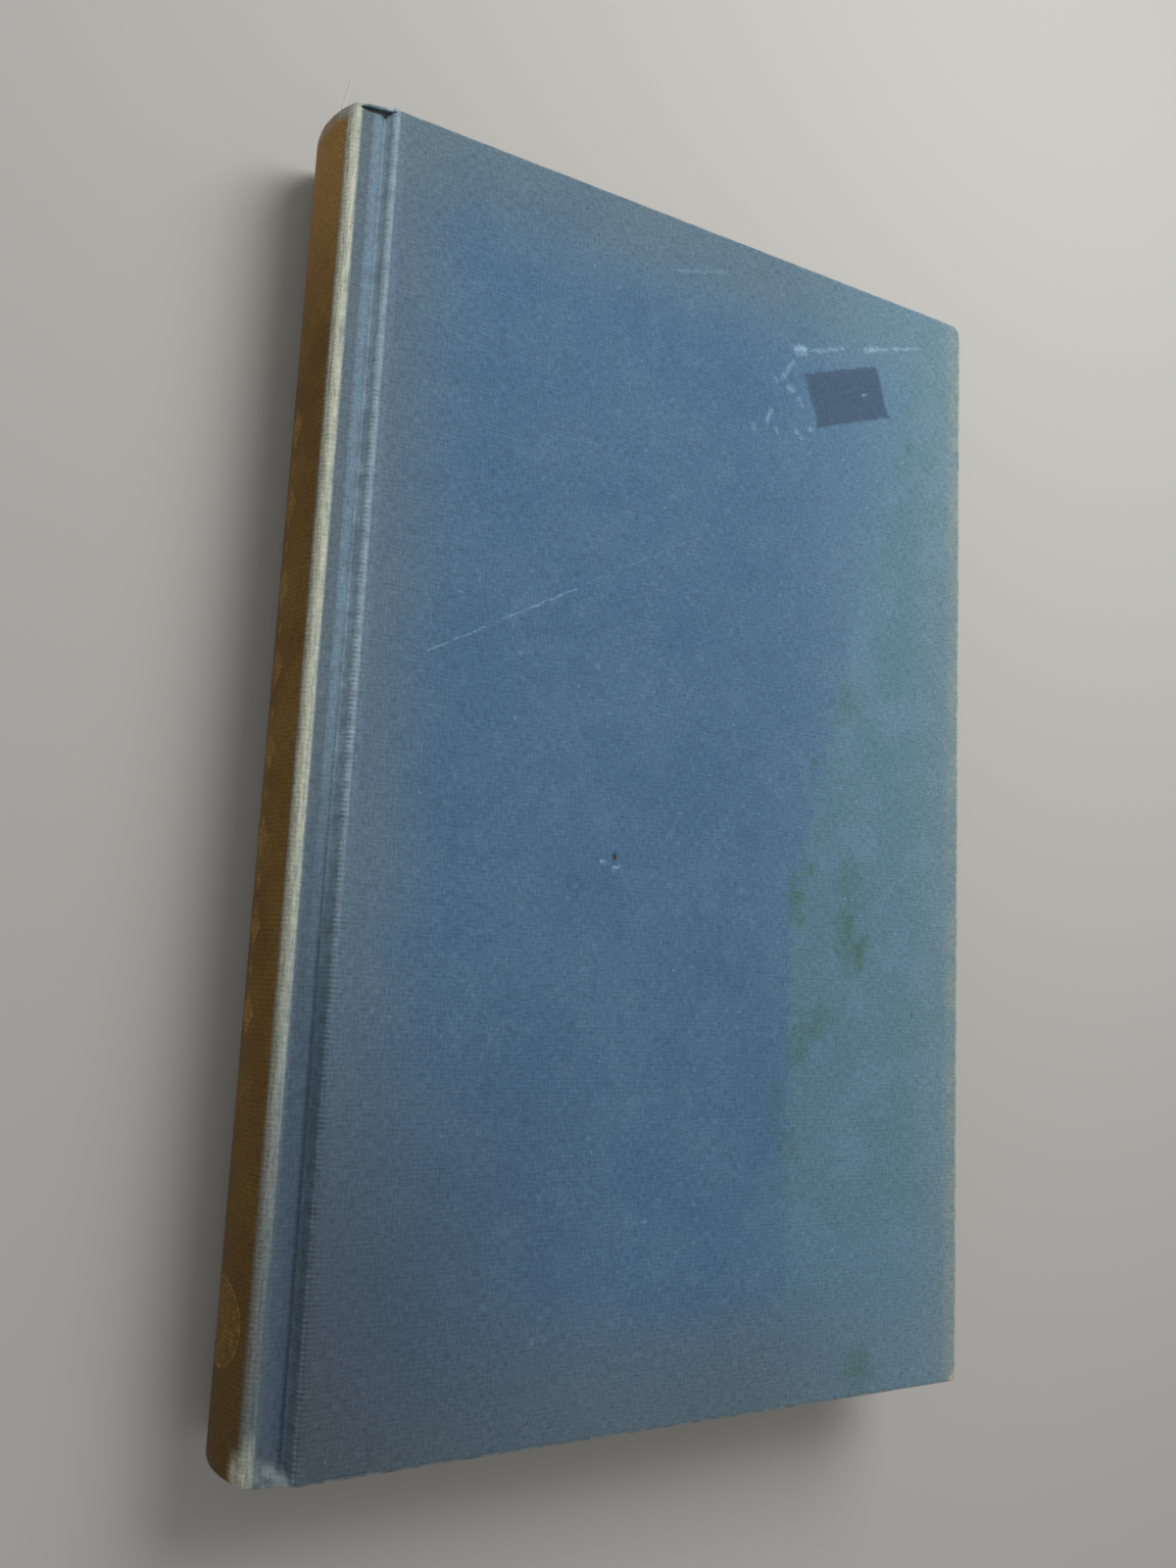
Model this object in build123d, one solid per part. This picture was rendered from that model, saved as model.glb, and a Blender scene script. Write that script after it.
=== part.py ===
"""A slim cloth-bound hardback book, closed and lying on its back cover.

Millimetres. +X runs from the spine to the fore edge, +Y from the tail to the head,
and +Z from the back cover to the front cover. The origin is the middle of the book's
footprint, on the surface that it lies on.
"""

import os
from math import sqrt

from build123d import *

# Leaves
page_height = 183.2
page_width = 115.8  # from the ridge of the spine's shoulder to the fore edge
pages_thickness = 13.6
fore_edge_hollow = 1.6  # how far the rounded fore edge curves in
endpaper = 0.2

# Sewing, in saw cuts across the folded backs
sewing_rows = 5
kettle_stitch_inset = 12.0  # from the head and the tail of the leaves
thread_radius = 0.3
kerf_clearance = 0.1  # all round the thread

# Linings of the back
mull = 0.25
mull_clearance = 3.4  # between the mull and the turn-ins at the head and the tail
mull_flange = 25.0  # glued width inside each board
lining = 0.25
lining_inset = 1.0
hollow_clearance = 0.2  # between the lining and the spine cloth's turn-ins
inlay = 0.5

# Case
board = 2.5
cloth = 0.4
square = 3.0  # the boards reach past the leaves by this much
turn_in = 15.0
joint_width = 5.9  # from the ridge to the edge of the board
groove_width = 1.3  # flat bottom of the groove, beside the board
shoulder_rise = 0.8  # of the backed shoulder above the flat of the leaves
spine_round = 2.4  # how far the spine stands out behind the two ridges
corner_round = 1.5
edge_round = 0.6

# Worn slit in the front joint, beside the head
slit_inset = 0.6  # from the ridge and from the board
slit_width = 1.4
slit_strand = 0.4  # the fold of cloth left standing past the slit

# Heights above the outer face of the endpaper that lies on the leaves.
# A turn-in and a mull flange share one layer between board and pastedown.
under_layer = max(cloth, mull)
board_low = endpaper + under_layer
board_high = board_low + board
cover_high = board_high + cloth
strip_depth = endpaper + under_layer + cloth  # all layers in the joint
ridge_height = shoulder_rise + strip_depth

# The whole book
stack = pages_thickness / 2 + endpaper  # from the middle to the endpaper's face
thickness = 2 * (stack + cover_high)
board_height = page_height + 2 * square
height = board_height + 2 * cloth
groove_start = joint_width - groove_width
board_edge = page_width + square
cover_edge = board_edge + cloth
width = cover_edge + spine_round
between_turn_ins = height - 2 * turn_in
mull_height = between_turn_ins - 2 * mull_clearance
kerf = 2 * (thread_radius + kerf_clearance)
edge_radius = min(edge_round, 3 * cloth)  # the board's corner stays covered

# Distances along X are counted from the ridge, which stands here in the frame
ridge_x = spine_round - width / 2
middle_z = thickness / 2

# Rounded spine: arcs about one centre line
ridge_z = stack + ridge_height
spine_radius = (ridge_z**2 + spine_round**2) / (2 * spine_round)
centre_x = spine_radius - spine_round
inlay_radius = spine_radius - cloth
spine_turn_in_radius = inlay_radius - inlay
lining_radius = spine_turn_in_radius - cloth - hollow_clearance
mull_radius = lining_radius - lining
back_radius = mull_radius - mull

FRONT = 1
BACK = -1


def point(x, z, y):
    """A point given by its distance from the ridge and from the middle layer."""
    return Vector(ridge_x + x, y, middle_z + z)


def prism(outline, length, start=None):
    """Extrude an outline of (x, z) corners along Y, centred unless start is given."""
    low_y = -length / 2 if start is None else start
    wire = Wire.make_polygon([point(x, z, low_y) for x, z in outline])
    return extrude(Face(wire), amount=length, dir=(0, 1, 0))


def layer(side, outline):
    """Turn (x, height above the endpaper) into (x, z) for the front or the back."""
    return [(x, side * (stack + high)) for x, high in outline]


def slab(side, low_x, high_x, low, high, length):
    """A flat layer of one cover, centred along Y."""
    corners = [(low_x, low), (high_x, low), (high_x, high), (low_x, high)]
    return prism(layer(side, corners), length)


def slope(x):
    """Height of the joint's underside, which falls from the ridge to the groove."""
    return shoulder_rise * (1 - x / groove_start)


def at_ridge(radius):
    """Where an arc of the spine meets the plane of the ridges."""
    return 0.0, sqrt(radius**2 - centre_x**2)


def at_shoulder(radius, depth):
    """Where an arc of the back meets the shoulder, at a depth under the joint."""
    fall = -shoulder_rise / groove_start
    top = stack + shoulder_rise - depth
    square_term = 1 + fall**2
    linear_term = 2 * (top * fall - centre_x)
    constant = centre_x**2 + top**2 - radius**2
    root = sqrt(linear_term**2 - 4 * square_term * constant)
    x = (-linear_term - root) / (2 * square_term)
    return x, top + fall * x


def arc(radius, end, y):
    """The arc of the back from its lower end to its upper end."""
    x, z = end
    return ThreePointArc(point(x, -z, y), point(centre_x - radius, 0, y), point(x, z, y))


def curved_layer(outer, outer_end, inner, inner_end, length, start=None):
    """A layer of even thickness that follows the rounded back."""
    low_y = -length / 2 if start is None else start
    outer_arc = arc(outer, outer_end, low_y)
    inner_arc = arc(inner, inner_end, low_y)
    upper_end = Line(outer_arc @ 1, inner_arc @ 1)
    lower_end = Line(outer_arc @ 0, inner_arc @ 0)
    outline = Wire([outer_arc.edge(), upper_end.edge(), inner_arc.edge(), lower_end.edge()])
    return extrude(Face(outline), amount=length, dir=(0, 1, 0))


def leaves():
    """All the leaves: backed shoulders, a rounded back and a hollow fore edge."""
    low_y = -page_height / 2
    half = pages_thickness / 2
    shoulder = at_shoulder(back_radius, endpaper)
    back = arc(back_radius, shoulder, low_y)
    upper_joint = Line(back @ 1, point(groove_start, half, low_y))
    upper_face = Line(upper_joint @ 1, point(page_width, half, low_y))
    fore_middle = point(page_width - fore_edge_hollow, 0, low_y)
    fore_edge = ThreePointArc(upper_face @ 1, fore_middle, point(page_width, -half, low_y))
    lower_face = Line(fore_edge @ 1, point(groove_start, -half, low_y))
    lower_joint = Line(lower_face @ 1, back @ 0)
    lines = [back, upper_joint, upper_face, fore_edge, lower_face, lower_joint]
    block = extrude(Face(Wire([line.edge() for line in lines])), amount=page_height, dir=(0, 1, 0))
    floor = back_radius - kerf
    mouth = back_radius + kerf
    mouth_end = at_shoulder(mouth, 0)
    floor_end = at_shoulder(floor, 0)
    for y in sewing_places():
        block -= curved_layer(mouth, mouth_end, floor, floor_end, kerf, y - kerf / 2)
    return block


def sewing_places():
    """Heights of the sewing along the back, from one kettle stitch to the other."""
    first = -page_height / 2 + kettle_stitch_inset
    step = (page_height - 2 * kettle_stitch_inset) / (sewing_rows - 1)
    return [first + row * step for row in range(sewing_rows)]


def sewing():
    """One round thread in each saw cut, from shoulder to shoulder."""
    threads = []
    radius = back_radius - kerf / 2
    for y in sewing_places():
        path = arc(radius, at_shoulder(radius, endpaper + 2 * thread_radius), y)
        section = Plane(origin=path @ 0, z_dir=path % 0) * Circle(thread_radius)
        threads.append(sweep(section, path=path))
    return Compound(threads)


def flyleaf(side):
    """The free half of the endpaper, folded at the shoulder."""
    fold = at_shoulder(back_radius, 0)
    corner = at_shoulder(back_radius, endpaper)
    outline = [
        (fold[0], fold[1] - stack),
        (groove_start, 0),
        (page_width, 0),
        (page_width, -endpaper),
        (groove_start, -endpaper),
        (corner[0], corner[1] - stack),
    ]
    return prism(layer(side, outline), page_height)


def pastedown(side):
    """The glued half of the endpaper, which steps down off the turn-ins and the mull."""
    fold = at_shoulder(back_radius, 0)[0]
    joint = [
        (fold, slope(fold)),
        (groove_start, 0),
        (groove_start, endpaper),
        (fold, slope(fold) + endpaper),
    ]
    window_start = joint_width + mull_flange
    window_end = cover_edge - turn_in
    sheet = prism(layer(side, joint), page_height)
    sheet += slab(side, groove_start, page_width, 0, endpaper, page_height)
    sheet += slab(side, window_start, window_end, 0, board_low, between_turn_ins)
    sheet -= slab(
        side,
        window_start + endpaper,
        window_end - endpaper,
        0,
        under_layer,
        between_turn_ins - 2 * endpaper,
    )
    return sheet


def mull_joint(side):
    """The mull's flange across the joint and inside the board."""
    outline = [
        (0, slope(0) + board_low),
        (groove_start, board_low),
        (joint_width + mull_flange, board_low),
        (joint_width + mull_flange, board_low - mull),
        (groove_start, board_low - mull),
        (0, slope(0) + board_low - mull),
    ]
    return prism(layer(side, outline), mull_height)


def round_corners(solid, radius):
    """Round the two corners at the fore edge."""
    return fillet(solid.edges().filter_by(Axis.Z).group_by(Axis.X)[-1], radius)


def cover_board(side):
    """The stiff board of one cover."""
    plate = slab(side, joint_width, board_edge, board_low, board_high, board_height)
    return round_corners(plate, max(corner_round - cloth, cloth))


def cover_cloth(side):
    """The cloth of one cover: joint, groove, outer face, edges and turn-ins."""
    wrap_start = joint_width - cloth
    wrap = slab(side, wrap_start, cover_edge, endpaper, cover_high, height)
    wrap = round_corners(wrap, corner_round)
    outer_face = wrap.faces().sort_by(Axis.Z)[-1 if side == FRONT else 0]
    wrap = fillet(outer_face.edges(), edge_radius)
    joint = [
        (0, ridge_height),
        (groove_start, strip_depth),
        (joint_width, strip_depth),
        (joint_width, endpaper),
        (groove_start, endpaper),
        (0, slope(0) + endpaper),
    ]
    wrap += prism(layer(side, joint), height)
    wrap -= cover_board(side)
    window = [
        (0, slope(0) + board_low),
        (groove_start, board_low),
        (cover_edge - turn_in, board_low),
        (cover_edge - turn_in, endpaper),
        (groove_start, endpaper),
        (0, slope(0) + endpaper),
    ]
    wrap -= prism(layer(side, window), between_turn_ins)
    return wrap


def worn_front_cloth():
    """The front cover's cloth with the slit worn in its joint beside the head."""
    slit_end = joint_width - slit_inset
    through = [
        (slit_inset, 0),
        (slit_end, 0),
        (slit_end, cover_high),
        (slit_inset, cover_high),
    ]
    head = height / 2
    wrap = cover_cloth(FRONT)
    wrap -= prism(layer(FRONT, through), slit_width, head - slit_strand - slit_width)
    strand = [
        (0, ridge_height),
        (joint_width, cover_high - edge_radius),
        (joint_width, cover_high - edge_radius - cloth),
        (0, ridge_height - cloth),
    ]
    wrap += prism(layer(FRONT, strand), slit_strand, head - slit_strand)
    return wrap


def spine_shell():
    """The cloth over the spine, turned in over the inlay at the head and the tail."""
    inner = spine_turn_in_radius - cloth
    shell = curved_layer(spine_radius, at_ridge(spine_radius), inner, at_ridge(inner), height)
    shell -= spine_card()
    card_face = spine_turn_in_radius
    shell -= curved_layer(
        card_face, at_ridge(card_face), inner, at_ridge(inner), between_turn_ins
    )
    return shell


def spine_card():
    """The card strip inside the spine cloth."""
    outer_end = at_ridge(inlay_radius)
    inner_end = at_ridge(spine_turn_in_radius)
    return curved_layer(inlay_radius, outer_end, spine_turn_in_radius, inner_end, board_height)


def back_lining(outer, inner, length):
    """A lining glued to the back, from shoulder to shoulder."""
    return curved_layer(outer, at_shoulder(outer, 0), inner, at_shoulder(inner, 0), length)


parts = {
    "text_block": leaves(),
    "sewing_thread": sewing(),
    "spine_mull": back_lining(mull_radius, back_radius, mull_height),
    "spine_lining": back_lining(lining_radius, mull_radius, page_height - 2 * lining_inset),
    "spine_inlay": spine_card(),
    "spine_cloth": spine_shell(),
    "front_flyleaf": flyleaf(FRONT),
    "front_pastedown": pastedown(FRONT),
    "front_mull_flange": mull_joint(FRONT),
    "front_board": cover_board(FRONT),
    "front_cloth": worn_front_cloth(),
    "back_flyleaf": flyleaf(BACK),
    "back_pastedown": pastedown(BACK),
    "back_mull_flange": mull_joint(BACK),
    "back_board": cover_board(BACK),
    "back_cloth": cover_cloth(BACK),
}

os.makedirs("parts", exist_ok=True)
for name, solid in parts.items():
    export_step(solid, f"parts/{name}.step")
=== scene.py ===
"""The looks of a slim cloth-bound hardback book, closed and lying on its back cover."""

from collections import Counter
from math import asin, atan2, cos, hypot, pi, radians, sin, sqrt, tan
from random import Random

import bpy
from mathutils import Matrix, Vector, noise


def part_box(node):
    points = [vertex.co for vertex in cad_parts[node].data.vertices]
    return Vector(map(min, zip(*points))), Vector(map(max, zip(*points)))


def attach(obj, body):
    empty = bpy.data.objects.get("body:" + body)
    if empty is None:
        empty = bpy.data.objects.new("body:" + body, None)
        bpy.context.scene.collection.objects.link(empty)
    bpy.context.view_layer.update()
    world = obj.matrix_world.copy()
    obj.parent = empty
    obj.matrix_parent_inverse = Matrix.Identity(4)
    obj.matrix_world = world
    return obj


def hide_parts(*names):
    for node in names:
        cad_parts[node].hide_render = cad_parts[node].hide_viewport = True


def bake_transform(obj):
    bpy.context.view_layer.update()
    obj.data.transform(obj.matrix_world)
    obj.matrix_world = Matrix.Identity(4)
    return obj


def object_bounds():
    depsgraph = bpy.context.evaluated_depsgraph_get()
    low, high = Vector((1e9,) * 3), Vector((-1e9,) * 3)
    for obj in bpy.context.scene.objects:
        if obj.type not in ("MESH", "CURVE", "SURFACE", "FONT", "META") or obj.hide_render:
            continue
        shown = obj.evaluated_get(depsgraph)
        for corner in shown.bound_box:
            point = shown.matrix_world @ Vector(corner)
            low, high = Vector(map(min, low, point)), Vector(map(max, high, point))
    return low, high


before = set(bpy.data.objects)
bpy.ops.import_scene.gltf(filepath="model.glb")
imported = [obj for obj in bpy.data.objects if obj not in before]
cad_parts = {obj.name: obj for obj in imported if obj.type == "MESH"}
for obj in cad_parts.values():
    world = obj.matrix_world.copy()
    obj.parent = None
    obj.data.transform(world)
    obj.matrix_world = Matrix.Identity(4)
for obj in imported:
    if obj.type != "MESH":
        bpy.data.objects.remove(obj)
cad_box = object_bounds()


# The view. The book is seen from above its spine side, from 20 cm away, through the
# wide lens of a hand-held camera whose top edge points to the head of the book.
mm = 0.001
camera_place = Vector((-103.15, -27.85, 182.1)) * mm
aimed_at = Vector((-15.39, -1.5, 21.0)) * mm
camera_roll = radians(2.72)
lens_px = 1258.4
picture_height_px = 1600
sensor_mm = 36

camera = bpy.data.objects.new("camera", bpy.data.cameras.new("camera"))
camera.data.sensor_width = sensor_mm
camera.data.lens = sensor_mm * lens_px / picture_height_px
camera.data.clip_start = 1 * mm
ahead = (aimed_at - camera_place).normalized()
level_right = ahead.cross(Vector((0, 1, 0))).normalized()
level_up = level_right.cross(ahead)
view_right = level_right * cos(camera_roll) + level_up * sin(camera_roll)
view_up = view_right.cross(ahead)
turned = Matrix((view_right, view_up, -ahead)).transposed().to_4x4()
camera.matrix_world = Matrix.Translation(camera_place) @ turned
bpy.context.scene.collection.objects.link(camera)
bpy.context.scene.camera = camera


# The table and the light. A pale matt table top under one large soft lamp, which
# stands beyond the head on the fore-edge side, with even light from all round.
def linear(colour):
    """Turn an sRGB hex colour such as "5f7c99" into a linear RGBA colour."""
    shares = [int(colour[place : place + 2], 16) / 255 for place in (0, 2, 4)]
    return [s / 12.92 if s <= 0.04045 else ((s + 0.055) / 1.055) ** 2.4 for s in shares] + [1]


def new_material(name):
    """Start a material and return it with its node tree and its shader."""
    material = bpy.data.materials.new(name)
    material.use_nodes = True
    return material, material.node_tree, material.node_tree.nodes["Principled BSDF"]


def plug(tree, node, sockets):
    """Link or set a node's sockets, given by name or number."""
    for name, value in sockets.items():
        if isinstance(name, int):
            socket = node.inputs[name]
        else:
            socket = next(s for s in node.inputs if s.enabled and s.name == name)
        if isinstance(value, bpy.types.Node):
            value = next(s for s in value.outputs if s.enabled)
        if isinstance(value, bpy.types.NodeSocket):
            tree.links.new(value, socket)
        else:
            socket.default_value = value


def add(tree, kind, settings=None, sockets=None):
    """Add a node, set its settings, and link or set its sockets."""
    made = tree.nodes.new("ShaderNode" + kind)
    for name, value in (settings or {}).items():
        setattr(made, name, value)
    plug(tree, made, sockets or {})
    return made


table_colour = "bdbbb6"
table_reach = 1.5
lamp_place = Vector((0.12, 0.24, 0.34))
lamp_width = 0.26
lamp_watts = 1.35
sky_strength = 0.34

material, tree, shader = new_material("matt_painted_table")
matt_paint = {"Base Color": linear(table_colour), "Roughness": 0.9, "Specular IOR Level": 0.1}
plug(tree, shader, matt_paint)
corners = [(x * table_reach, y * table_reach, 0) for x, y in ((-1, -1), (1, -1), (1, 1), (-1, 1))]
mesh = bpy.data.meshes.new("table_top")
mesh.from_pydata(corners, [], [(0, 1, 2, 3)])
mesh.materials.append(material)
table_top = bpy.data.objects.new("table_top", mesh)
table_top.location.z = cad_box[0].z
bpy.context.scene.collection.objects.link(table_top)

lamp = bpy.data.objects.new("soft_lamp", bpy.data.lights.new("soft_lamp", "AREA"))
lamp.data.size = lamp_width
lamp.data.energy = lamp_watts
lamp.location = lamp_place
lamp.rotation_euler = (-lamp_place).to_track_quat("-Z", "Y").to_euler()
bpy.context.scene.collection.objects.link(lamp)

world = bpy.data.worlds.new("even_light")
world.use_nodes = True
even_white = {"Color": (1, 1, 1, 1), "Strength": sky_strength}
plug(world.node_tree, world.node_tree.nodes["Background"], even_white)
bpy.context.scene.world = world
bpy.context.scene.view_settings.view_transform = "Standard"


# The leaves. Folded sections of uncoated paper, sewn through saw cuts in their
# backs, with backed shoulders, a rounded back and a fore edge that curves in.
leaf_step = 0.2
leaf_stagger = 0.07
section_leaves = 8
section_stagger = 0.06
cockle_depth = 0.05
cockle_reach = 14
fore_edge_hollow = 1.6
shoulder_rise = 0.8
groove_start = 4.6
sewing_rows = 5
kettle_stitch_inset = 12.0
saw_cut = 0.8
end_steps = 12
fore_steps = 24


def box_mm(node):
    """The lowest and highest corner of a solid of the frame, in millimetres."""
    low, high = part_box(node)
    return low / mm, high / mm


block_low, block_high = box_mm("text_block")
leaf_top = box_mm("front_flyleaf")[0].z
spine_low, spine_high = box_mm("spine_cloth")
front_low, front_high = box_mm("front_cloth")
ridge_x = front_low.x
middle_z = (spine_low.z + spine_high.z) / 2
ridge_rise = spine_high.z - middle_z
spine_depth = ridge_x - spine_low.x
spine_radius = (ridge_rise**2 + spine_depth**2) / (2 * spine_depth)
spine_centre_x = spine_low.x + spine_radius
back_radius = spine_centre_x - block_low.x
leaf_rise = leaf_top - middle_z


def net_faces(rows, across, closed=False):
    """The faces of a net of points; a closed net joins the two ends of each row."""
    faces = []
    for here in range(0, (rows - 1) * across, across):
        for column in range(across if closed else across - 1):
            after = (column + 1) % across
            faces.append((here + column, here + after, here + across + after, here + across + column))
    return faces


def new_piece(name, points, faces, smooth=True):
    """Make a mesh object from points in millimetres."""
    mesh = bpy.data.meshes.new(name)
    mesh.from_pydata([Vector(place) * mm for place in points], [], faces)
    if smooth:
        mesh.shade_smooth()
    piece = bpy.data.objects.new(name, mesh)
    bpy.context.scene.collection.objects.link(piece)
    return piece


def leaves():
    """Every leaf as a thin layer with its own small stagger, in one closed mesh."""
    drawn = Random(11)
    top = block_high.z - middle_z
    count = round(2 * top / leaf_step)
    half_height = block_high.y
    fore_radius = (leaf_rise**2 + fore_edge_hollow**2) / (2 * fore_edge_hollow)
    stitch_pitch = 2 * (half_height - kettle_stitch_inset) / (sewing_rows - 1)
    rings = []
    for layer in range(count):
        if layer % section_leaves == 0:
            section = drawn.uniform(-section_stagger, section_stagger)
        tail_y = drawn.uniform(-leaf_stagger, leaf_stagger) + section - half_height
        head_y = drawn.uniform(-leaf_stagger, leaf_stagger) + section + half_height
        fore_shift = drawn.uniform(-leaf_stagger, leaf_stagger)
        wave_phase = drawn.uniform(0, 2 * pi)
        for end in (0, 1):
            z = -top + (layer + end) * 2 * top / count
            level = min(abs(z), back_radius)
            back_x = spine_centre_x - sqrt(back_radius**2 - level**2)
            if level <= leaf_rise:
                fore_x = block_high.x - fore_edge_hollow
                fore_x += fore_radius - sqrt(fore_radius**2 - level**2) + fore_shift
                cockle = cockle_depth
            else:
                fore_x = ridge_x + groove_start * (1 - (level - leaf_rise) / shoulder_rise)
                cockle = 0
            ring = []
            for step in range(end_steps):
                ring.append((back_x + (fore_x - back_x) * step / end_steps, tail_y))
            for step in range(fore_steps):
                y = tail_y + (head_y - tail_y) * step / fore_steps
                wave = cockle * sin(y / cockle_reach + wave_phase) if step else 0
                ring.append((fore_x + wave, y))
            for step in range(end_steps):
                ring.append((fore_x + (back_x - fore_x) * step / end_steps, head_y))
            for stitch in range(sewing_rows):
                y = half_height - kettle_stitch_inset - stitch * stitch_pitch
                for cut, off in ((0, 1), (1, 1), (1, -1), (0, -1)):
                    ring.append((back_x + cut * saw_cut, y + off * saw_cut / 2))
            rings.append([(x, y, middle_z + z) for x, y in ring])
    size = len(rings[0])
    points = [place for ring in rings for place in ring]
    faces = [tuple(reversed(range(size)))]
    faces += net_faces(len(rings), size, closed=True)
    faces.append(tuple(range(len(points) - size, len(points))))
    return new_piece("leaves", points, faces, smooth=False)


SMOOTH = {"interpolation_type": "SMOOTHSTEP"}


def place_in_mm(tree):
    """Where a point lies on its piece, in millimetres."""
    place = add(tree, "TexCoord").outputs["Object"]
    return add(tree, "VectorMath", {"operation": "SCALE"}, {0: place, "Scale": 1 / mm})


def layered(tree, ground, layers):
    """Lay colours over a ground colour, each through its mask."""
    colour = linear(ground)
    for mask, over in layers:
        mixed = {"Factor": mask, "A": colour, "B": linear(over)}
        colour = add(tree, "Mix", {"data_type": "RGBA"}, mixed)
    return colour


def finish(tree, shader, colour, height, relief_mm, strength, roughness, gloss=0.5):
    """Give a surface its colour and its relief, and say how rough and glossy it is."""
    relief = {"Strength": strength, "Distance": relief_mm * mm, "Height": height}
    surface = {"Base Color": colour, "Normal": add(tree, "Bump", None, relief)}
    plug(tree, shader, surface | {"Roughness": roughness, "Specular IOR Level": gloss})


def page_edges_material():
    """Uncoated paper, cut across: fine lines of leaves under broad browner patches."""
    material, tree, shader = new_material("uncoated_paper_page_edges")
    in_mm = place_in_mm(tree)
    # The leaves are 0.1 mm thick. They are drawn about 0.25 mm thick so that they show.
    stretched = add(tree, "VectorMath", {"operation": "MULTIPLY"}, {0: in_mm, 1: (0.05, 0.05, 4.0)})
    lines = add(tree, "TexNoise", None, {"Vector": stretched, "Scale": 1.0, "Detail": 4.0})
    broad = add(tree, "TexNoise", None, {"Vector": in_mm, "Scale": 0.04, "Detail": 3.0})
    shade = add(tree, "MapRange", None, {"Value": lines, "From Min": 0.3, "From Max": 0.7})
    patches = {"Value": broad, "From Min": 0.45, "From Max": 0.75, "To Max": 0.5}
    toned = add(tree, "MapRange", SMOOTH, patches)
    colour = layered(tree, "b39b72", [(shade, "e2d2ae"), (toned, "b89a6a")])
    finish(tree, shader, colour, lines, relief_mm=0.1, strength=0.5, roughness=0.9, gloss=0.25)
    return material


block = leaves()
block.data.materials.append(page_edges_material())
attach(block, "book_block")
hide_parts("text_block")


# The sewing. Waxed linen thread, one length in each saw cut, which ties the folded
# sections to each other. The cream wax makes it stiff and slightly shiny.
def thread_material():
    """Waxed linen thread: pale, with the slant of its twist."""
    material, tree, shader = new_material("waxed_linen_thread")
    slant = {"Vector": place_in_mm(tree), "Rotation": (0.6, 0.6, 0.6)}
    slanted = add(tree, "Mapping", None, slant)
    twist = add(tree, "TexWave", None, {"Vector": slanted, "Scale": 1.0, "Distortion": 1.0})
    colour = layered(tree, "b9ad8c", [(twist, "e3d9bd")])
    finish(tree, shader, colour, twist, relief_mm=0.05, strength=0.6, roughness=0.55)
    return material


def dress(node, material):
    """Give a solid of the frame its finish."""
    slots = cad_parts[node].data.materials
    slots.clear()
    slots.append(material)


dress("sewing_thread", thread_material())


# The endpapers. One folded sheet at each end of the leaves: its free half is the
# flyleaf, and the other half is pasted down inside the board over the turn-ins.
fold_radius = 0.2
fold_steps = 9
fold_rows = 24
fold_overlap = 0.1
fold_thickness = 0.12
toned_rim = 14

TIMES = {"operation": "MULTIPLY"}
LARGER = {"operation": "MAXIMUM"}


def side_name(side):
    """The name of a cover: front is +1 and back is -1."""
    return "front" if side > 0 else "back"


def across_hinge(piece, side):
    """Bake a piece's place into its mesh, the same way for either cover."""
    if side > 0:
        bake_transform(piece)
    else:
        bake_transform(piece)


def endpaper_fold(side):
    """The fold of the endpaper at the gutter."""
    fly_low, fly_high = box_mm(side_name(side) + "_flyleaf")
    fly_face = fly_high.z if side > 0 else fly_low.z
    points = []
    for row in range(fold_rows + 1):
        y = fly_low.y + (fly_high.y - fly_low.y) * row / fold_rows
        for step in range(fold_steps + 1):
            turn = pi * step / fold_steps - pi / 2
            x = fly_low.x + fold_overlap - fold_radius * cos(turn)
            points.append((x, y, fly_face + side * fold_radius * sin(turn)))
    faces = net_faces(fold_rows + 1, fold_steps + 1)
    if side < 0:
        faces = [tuple(reversed(face)) for face in faces]
    piece = new_piece(side_name(side) + "_endpaper_fold", points, faces)
    thicken = piece.modifiers.new("paper_thickness", "SOLIDIFY")
    thicken.thickness = fold_thickness * mm
    thicken.offset = -1
    across_hinge(piece, side)
    return piece


def endpaper_material():
    """Uncoated cream wove paper: fibres, a browner rim, and a few brown age spots."""
    material, tree, shader = new_material("cream_wove_endpaper")
    in_mm = place_in_mm(tree)
    parts = add(tree, "SeparateXYZ", None, {"Vector": in_mm})
    cloudy = add(tree, "TexNoise", None, {"Vector": in_mm, "Scale": 0.05, "Detail": 5.0})
    fibres = add(tree, "TexNoise", None, {"Vector": in_mm, "Scale": 1.6, "Detail": 5.0})
    across = add(tree, "Math", {"operation": "ABSOLUTE"}, {0: parts.outputs["Y"]})
    rims = []
    for value, edge in ((across, block_high.y), (parts.outputs["X"], block_high.x)):
        near = {"Value": value, "From Min": edge - toned_rim, "From Max": edge + 1}
        rims.append(add(tree, "MapRange", SMOOTH, near))
    rim = add(tree, "Math", LARGER, {0: rims[0], 1: rims[1]})
    uneven = add(tree, "Math", TIMES, {0: rim, 1: cloudy})
    spots = add(tree, "TexVoronoi", None, {"Vector": in_mm, "Scale": 0.07})
    spot_size = add(tree, "MapRange", SMOOTH, {"Value": spots, "From Min": 0.1, "From Max": 0.02})
    few = add(tree, "Math", {"operation": "GREATER_THAN"}, {0: spots.outputs["Color"], 1: 0.55})
    foxing = add(tree, "Math", TIMES, {0: spot_size, 1: few})
    colour = layered(tree, "d8c9a4", [(cloudy, "eadfc2"), (uneven, "b99d68"), (foxing, "a8844f")])
    finish(tree, shader, colour, fibres, relief_mm=0.05, strength=0.3, roughness=0.85, gloss=0.3)
    return material


endpaper = endpaper_material()
for side in (1, -1):
    dress(side_name(side) + "_flyleaf", endpaper)
    dress(side_name(side) + "_pastedown", endpaper)
    endpaper_fold(side).data.materials.append(endpaper)


# The mull. Open-weave starched cotton, glued over the sewn back, with a flange that
# crosses each joint and is glued inside the board.
mull_pitch = 1.0
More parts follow.
